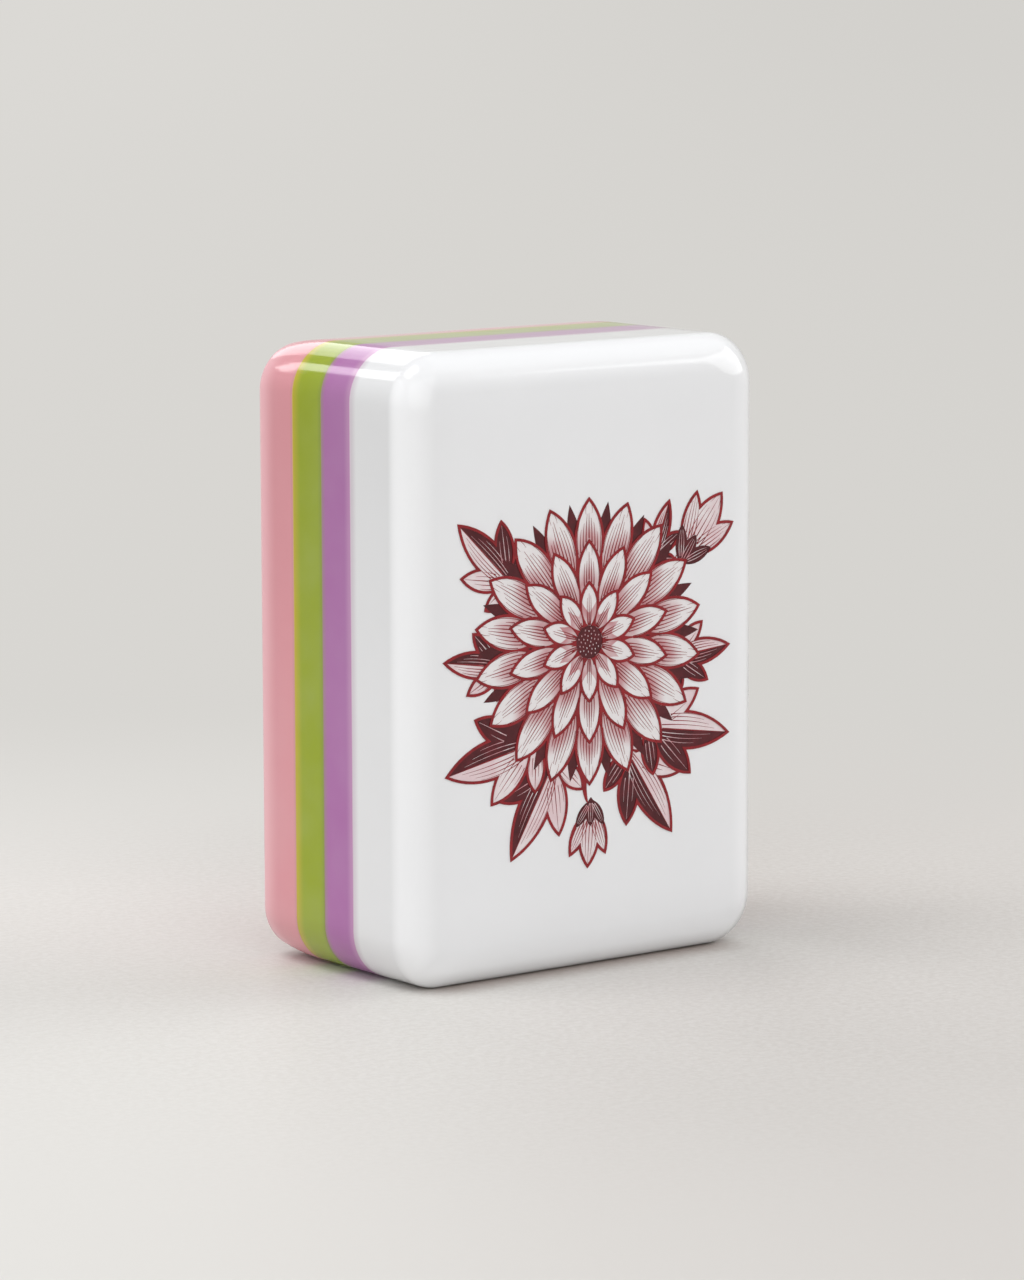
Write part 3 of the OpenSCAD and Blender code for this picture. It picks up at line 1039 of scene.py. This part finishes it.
def make_sweep():
    """A floor that bends up into a wall far behind the tile."""
    deselect()
    bpy.ops.mesh.primitive_plane_add(size=SWEEP_SIZE, location=(0, SWEEP_BACK - SWEEP_SIZE / 2, 0))
    sweep = bpy.context.object
    sweep.name = "paper_sweep"
    bpy.ops.object.transform_apply(location=True)
    bpy.ops.object.mode_set(mode="EDIT")
    bpy.ops.mesh.select_all(action="DESELECT")
    bpy.ops.mesh.select_mode(type="EDGE")
    pick_edges(sweep, lambda end: end.y > SWEEP_BACK - MM)
    bpy.ops.mesh.extrude_region_move(TRANSFORM_OT_translate={"value": (0, 0, SWEEP_HEIGHT)})
    pick_edges(sweep, lambda end: end.y > SWEEP_BACK - MM and end.z < MM)
    bpy.ops.mesh.bevel(affect="EDGES", offset_type="OFFSET", offset=SWEEP_BEND,
                       segments=SWEEP_STEPS, profile=0.5)
    end_edit()
    bpy.ops.object.shade_smooth()
    sweep.data.materials.append(paper_sweep("sweep paper"))


def around(turn, rise, distance):
    """A place seen from the tile: turn to the left of straight ahead, and rise, in degrees."""
    turn, rise = math.radians(turn), math.radians(rise)
    return (-distance * math.sin(turn) * math.cos(rise), -distance * math.cos(turn) * math.cos(rise),
            distance * math.sin(rise))


def soft_box(name, place, size, radiance):
    """A lamp panel that faces the tile and is as bright as radiance says."""
    width, height = size
    data = bpy.data.lights.new(name, "AREA")
    data.shape = "RECTANGLE"
    data.size = width
    data.size_y = height
    data.energy = radiance * math.pi * width * height
    lamp = bpy.data.objects.new(name, data)
    bpy.context.collection.objects.link(lamp)
    lamp.location = place
    aim = Vector((0, 0, TILE_H / 2)) - Vector(place)
    lamp.rotation_mode = "QUATERNION"
    lamp.rotation_quaternion = aim.to_track_quat("-Z", "Y")


def light_studio():
    """The lamps, and air that lights the tile faintly and shows as the backdrop."""
    for name, (place, size, radiance) in LAMPS.items():
        soft_box(name, around(*place), size, radiance)
    world = bpy.data.worlds.new("studio air")
    bpy.context.scene.world = world
    world.use_nodes = True
    tree = world.node_tree
    air = tree.nodes["Background"]
    air.inputs["Color"].default_value = PURE_WHITE
    air.inputs["Strength"].default_value = AIR
    backdrop = tree.nodes.new("ShaderNodeBackground")
    backdrop.inputs["Color"].default_value = BACKDROP
    blend_shaders(tree, seen_rays(tree), air.outputs["Background"], backdrop.outputs["Background"],
                  "World Output")


# Dressing

def give(node, material):
    """Finishes a solid that is shown as it is."""
    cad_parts[node].material_slots[0].material = material


def dress_slabs():
    white_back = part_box("white_face")[1].y
    lilac_front, lilac_back = (corner.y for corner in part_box("lilac_layer"))
    green_front, green_back = (corner.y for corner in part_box("green_layer"))
    pink_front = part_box("pink_back")[0].y
    white = slab_plastic("white plastic", WHITE, None, (WHITE_BY_LILAC, white_back, WHITE_BACK_REACH),
                         (WHITE_RIM_HIGHLIGHT, WHITE_RIM_START - FRONT, WHITE_RIM_FULL - FRONT))
    lilac = slab_plastic("lilac plastic", LILAC, (LILAC_BY_WHITE, lilac_front, LILAC_FRONT_REACH),
                         (LILAC_BY_GREEN, lilac_back, LILAC_BACK_REACH))
    green = slab_plastic("green plastic", GREEN, (GREEN_BY_LILAC, green_front, GREEN_FRONT_REACH),
                         (GREEN_BY_PINK, green_back, GREEN_BACK_REACH))
    pink = slab_plastic("pink plastic", PINK, (PINK_BY_GREEN, pink_front, PINK_FRONT_REACH), None,
                        (PINK_RIM_HIGHLIGHT, cad_high.y - PINK_RIM_START, cad_high.y - PINK_RIM_FULL))
    make_outer_slab("white_slab", "white_face", "white_plastic", white, WHITE_EDGE, -1, FACE_SINK)
    make_outer_slab("pink_slab", "pink_back", "pink_plastic", pink, PINK_EDGE, 1)
    give("lilac_layer", lilac)
    give("green_layer", green)
    give("front_bond", bond_film("white to lilac bond", "front_bond",
                                 WHITE_BY_LILAC, WHITE_TO_LILAC, LILAC_BY_WHITE))
    give("middle_bond", bond_film("lilac to green bond", "middle_bond",
                                  LILAC_BY_GREEN, LILAC_TO_GREEN, GREEN_BY_LILAC))
    give("back_bond", bond_film("green to pink bond", "back_bond",
                                GREEN_BY_PINK, GREEN_TO_PINK, PINK_BY_GREEN))


def dress_artwork():
    line_paint = ink_paint("oxblood paint", OXBLOOD, OXBLOOD_DARK, grain=1500, gloss=0.16)
    shadow_paint = ink_paint("maroon paint", MAROON, MAROON_LIGHT, grain=1200, gloss=0.14)
    leaf_wash = ink_paint("leaf wash", LEAF_ROSE, LEAF_WASH, grain=500, gloss=0.14)
    pale_paint = ink_paint("pale line paint", PALE_LINE, WASH, grain=1500, gloss=0.16)
    for node in ("petal_line_paint", "leaf_line_paint", "bud_line_paint", "stem_paint"):
        give(node, line_paint)
    sink_paint("petal_wash_paint", "petal_wash", "pale_pink_paint", petal_wash("petal wash"))
    sink_paint("leaf_wash_paint", "leaf_wash", "pale_pink_paint", leaf_wash)
    sink_paint("bud_wash_paint", "bud_wash", "pale_pink_paint", leaf_wash)
    sink_paint("blossom_shadow_paint", "blossom_shadow", "maroon_paint", shadow_paint)
    sink_paint("leaf_shadow_paint", "leaf_shadow", "maroon_paint", shadow_paint)
    sink_paint("bud_shadow_paint", "bud_shadow", "maroon_paint", shadow_paint)
    nib = make_nib()
    leaf_dark, leaf_pale = draw_leaf_veins()
    bud_dark, bud_pale = draw_bud_lines()
    ink("petal_pen_lines", draw_blossom(), nib, "oxblood_paint", line_paint)
    ink("heart_seeds", draw_heart(), nib, "pale_pink_paint", pale_paint)
    ink("leaf_veins", leaf_dark, nib, "oxblood_paint", line_paint)
    ink("leaf_pale_veins", leaf_pale, nib, "pale_pink_paint", pale_paint)
    ink("bud_pen_lines", bud_dark, nib, "oxblood_paint", line_paint)
    ink("calyx_pale_lines", bud_pale, nib, "pale_pink_paint", pale_paint)
    bpy.data.objects.remove(nib)


make_camera()
dress_slabs()
dress_artwork()
make_sweep()
light_studio()
bpy.context.scene.view_settings.view_transform = "Standard"
